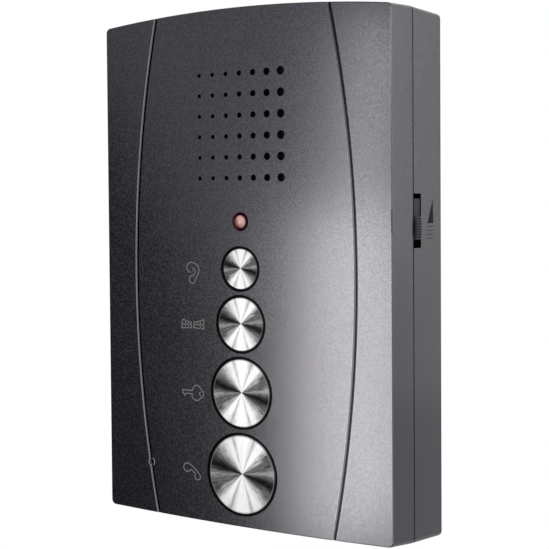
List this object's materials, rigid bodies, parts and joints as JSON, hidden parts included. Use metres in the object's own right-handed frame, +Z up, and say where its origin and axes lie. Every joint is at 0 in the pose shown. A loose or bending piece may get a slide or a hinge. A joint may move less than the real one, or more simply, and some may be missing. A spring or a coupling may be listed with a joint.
{
  "type": "intercom handset",
  "caption": "Flat hands-free wall intercom station with a speaker grille, a signal lamp, a column of round metal-faced push buttons and a volume slider in its side.",
  "frame": {"origin": "on the wall face of the rear housing, at mid width, 85.3 mm above the lower corners of the front", "axes": "+X to the right seen from the front, +Y into the wall, +Z up"},
  "size_m": [0.115, 0.0363, 0.179],
  "materials": {
    "casing": "fine-grained anthracite moulding",
    "screw_steel": "zinc plated",
    "lamp_lens": "diffuse tinted lens",
    "black_nylon": "moulded",
    "grille_cloth": "thin black cloth",
    "foam": "closed-cell foam",
    "basket_steel": "pressed and plated",
    "cone_paper": "pressed paper",
    "coil_copper": "enamelled copper winding",
    "spider_cloth": "resin-stiffened cloth",
    "ferrite": "sintered ferrite",
    "terminal_strip": "phenolic paper with tinned lugs",
    "capsule_metal": "drawn can",
    "boot_rubber": "moulded",
    "circuit_board": "glass-epoxy with solder mask",
    "knob_plastic": "ribbed moulding",
    "white_plastic": "moulded nylon",
    "terminal_green": "moulded",
    "brass": "plated",
    "terminal_screw": "slotted",
    "chip_black": "epoxy moulding",
    "capacitor_sleeve": "shrunk sleeve",
    "film_box": "moulded box",
    "resistor_body": "lacquered",
    "trimmer_blue": "moulded",
    "lead_jacket": "insulated wire",
    "button_black": "moulded",
    "spun_metal": "turned with circular lines, bevelled rim",
    "switch_body": "moulded",
    "switch_plunger": "moulded",
    "spring_wire": "spring wire"
  },
  "bodies": {
    "casing": {"front_cover": "casing", "rear_housing": "casing", "cover_screws": "screw_steel", "board_screws": "screw_steel", "speaker_screws": "screw_steel", "led_lamp": "lamp_lens", "led_spacer": "black_nylon", "chip_socket": "black_nylon", "speaker_felt": "grille_cloth", "speaker_gasket": "foam", "speaker_frame": "basket_steel", "speaker_top_plate": "basket_steel", "speaker_yoke": "basket_steel", "speaker_clamps": "basket_steel", "speaker_cone": "cone_paper", "speaker_dust_cap": "cone_paper", "speaker_coil": "coil_copper", "speaker_spider": "spider_cloth", "speaker_magnet": "ferrite", "speaker_terminals": "terminal_strip", "microphone": "capsule_metal", "volume_track": "capsule_metal", "microphone_boot": "boot_rubber", "main_board": "circuit_board", "speaker_connector": "white_plastic", "speaker_plug": "white_plastic", "terminal_block": "terminal_green", "terminal_cages": "brass", "terminal_screws": "terminal_screw", "amplifier_chip": "chip_black", "transistors": "chip_black", "diodes": "chip_black", "electrolytic_capacitors": "capacitor_sleeve", "film_capacitors": "film_box", "resistors": "resistor_body", "trimmers": "trimmer_blue", "speaker_lead": "lead_jacket", "talk_switch": "switch_body", "talk_spring": "spring_wire", "lock_switch": "switch_body", "lock_spring": "spring_wire", "gate_switch": "switch_body", "gate_spring": "spring_wire", "listen_switch": "switch_body", "listen_spring": "spring_wire"},
    "volume_slider": {"volume_knob": "knob_plastic", "volume_carriage": "white_plastic"},
    "talk_push": {"talk_button": "button_black", "talk_disc": "spun_metal", "talk_plunger": "switch_plunger"},
    "lock_push": {"lock_button": "button_black", "lock_disc": "spun_metal", "lock_plunger": "switch_plunger"},
    "gate_push": {"gate_button": "button_black", "gate_disc": "spun_metal", "gate_plunger": "switch_plunger"},
    "listen_push": {"listen_button": "button_black", "listen_disc": "spun_metal", "listen_plunger": "switch_plunger"}
  },
  "joints": [
    {"name": "talk_press", "type": "slide", "parent": "casing", "child": "talk_push", "axis": [0, 1, 0], "range_m": [0, 0.0015], "stiffness_N_per_m": 900, "springref_m": -0.0012, "deforming": ["talk_spring"]},
    {"name": "lock_press", "type": "slide", "parent": "casing", "child": "lock_push", "axis": [0, 1, 0], "range_m": [0, 0.0015], "stiffness_N_per_m": 900, "springref_m": -0.0012, "deforming": ["lock_spring"]},
    {"name": "gate_press", "type": "slide", "parent": "casing", "child": "gate_push", "axis": [0, 1, 0], "range_m": [0, 0.0015], "stiffness_N_per_m": 900, "springref_m": -0.0012, "deforming": ["gate_spring"]},
    {"name": "listen_press", "type": "slide", "parent": "casing", "child": "listen_push", "axis": [0, 1, 0], "range_m": [0, 0.0015], "stiffness_N_per_m": 900, "springref_m": -0.0012, "deforming": ["listen_spring"]},
    {"name": "volume_slide", "type": "slide", "parent": "casing", "child": "volume_slider", "axis": [0, 0, 1], "range_m": [-0.0024, 0.0014]}
  ]
}
